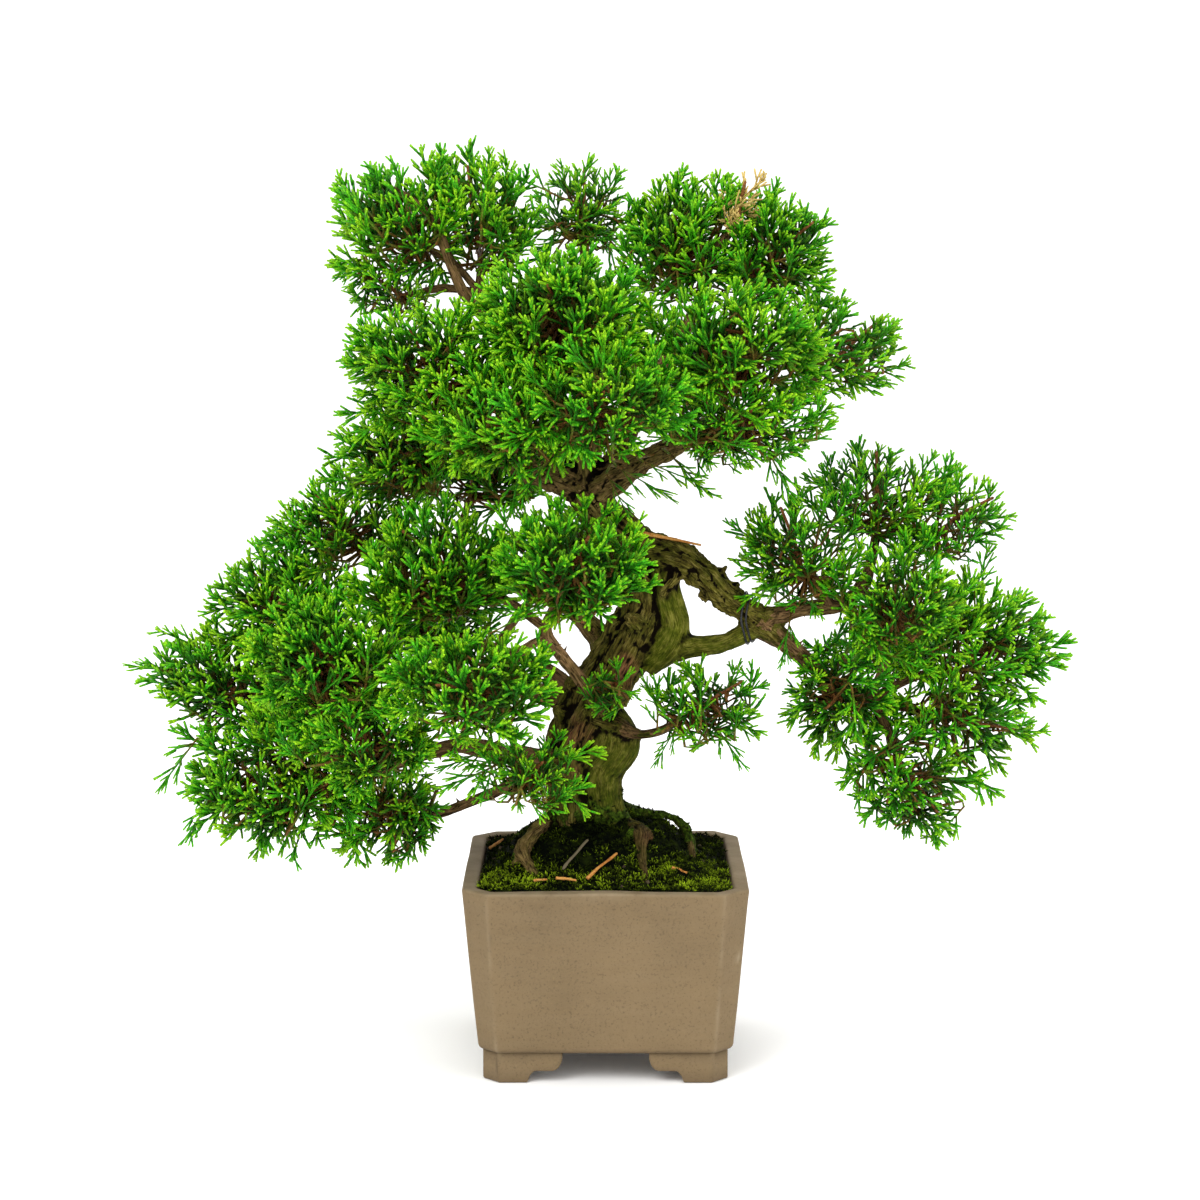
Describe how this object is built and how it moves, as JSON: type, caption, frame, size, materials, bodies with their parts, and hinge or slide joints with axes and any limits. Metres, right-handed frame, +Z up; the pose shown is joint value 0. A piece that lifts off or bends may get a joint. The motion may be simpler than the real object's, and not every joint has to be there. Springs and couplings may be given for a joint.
{
  "type": "chinese juniper bonsai",
  "caption": "Old Chinese juniper bonsai with a leaning fluted trunk, crossing limbs and cloud-like foliage pads, growing in a square unglazed stoneware pot on cloud-cut corner feet.",
  "frame": {"origin": "on the ground, under the middle of the bounding box of tree and pot", "axes": "+X to the right as seen from the tree's front, the longest way across; -Y is the tree's front and +Y its back, the shortest way; +Z up"},
  "size_m": [0.42, 0.2378, 0.4145],
  "materials": {
    "pot": "matte, unglazed",
    "drain_mesh": "matte",
    "soil": "rough, granular",
    "wood": "rough bark",
    "moss": "soft, fibrous",
    "dead_twig": "dry, matte",
    "wire": "dark anodised, satin",
    "dead_foliage": "dry, matte",
    "foliage": "satin scale leaves"
  },
  "bodies": {
    "root": {"pot": "pot", "drain_mesh": "drain_mesh", "soil": "soil", "trunk": "wood", "moss_left": "moss", "moss_right": "moss", "moss_back": "moss", "fallen_twig_front": "dead_twig", "fallen_twig_left": "dead_twig", "fallen_twig_middle": "dead_twig", "fallen_twig_limb": "dead_twig", "wire_tie": "wire", "dead_spray": "dead_foliage", "foliage_crown_far_left": "foliage", "foliage_crown_left": "foliage", "foliage_crown_left_tail": "foliage", "foliage_crown_back": "foliage", "foliage_crown_right": "foliage", "foliage_crown_far_right": "foliage", "foliage_front_top": "foliage", "foliage_front_left": "foliage", "foliage_right_shoulder": "foliage", "foliage_front_right": "foliage", "foliage_front_right_low": "foliage", "foliage_front_low": "foliage", "foliage_front_low_left": "foliage", "foliage_left_shoulder": "foliage", "foliage_left_upper": "foliage", "foliage_middle_front": "foliage", "foliage_middle_left": "foliage", "foliage_far_left_upper": "foliage", "foliage_far_left": "foliage", "foliage_left_front": "foliage", "foliage_front_left_deep": "foliage", "foliage_left_low": "foliage", "foliage_bottom_left": "foliage", "foliage_left_low_front": "foliage", "foliage_trunk_front": "foliage", "foliage_trunk_right": "foliage", "foliage_trunk_sprig": "foliage", "foliage_right_upper": "foliage", "foliage_right_far_upper": "foliage", "foliage_right_inner": "foliage", "foliage_right_far": "foliage", "foliage_right_middle": "foliage", "foliage_right_low_inner": "foliage", "foliage_right_bottom": "foliage", "foliage_right_low": "foliage", "foliage_back_top": "foliage", "foliage_back_top_right": "foliage", "foliage_back_top_left": "foliage", "foliage_back_middle": "foliage", "foliage_back_left": "foliage", "foliage_back_far_left": "foliage", "foliage_back_right": "foliage"}
  },
  "joints": []
}
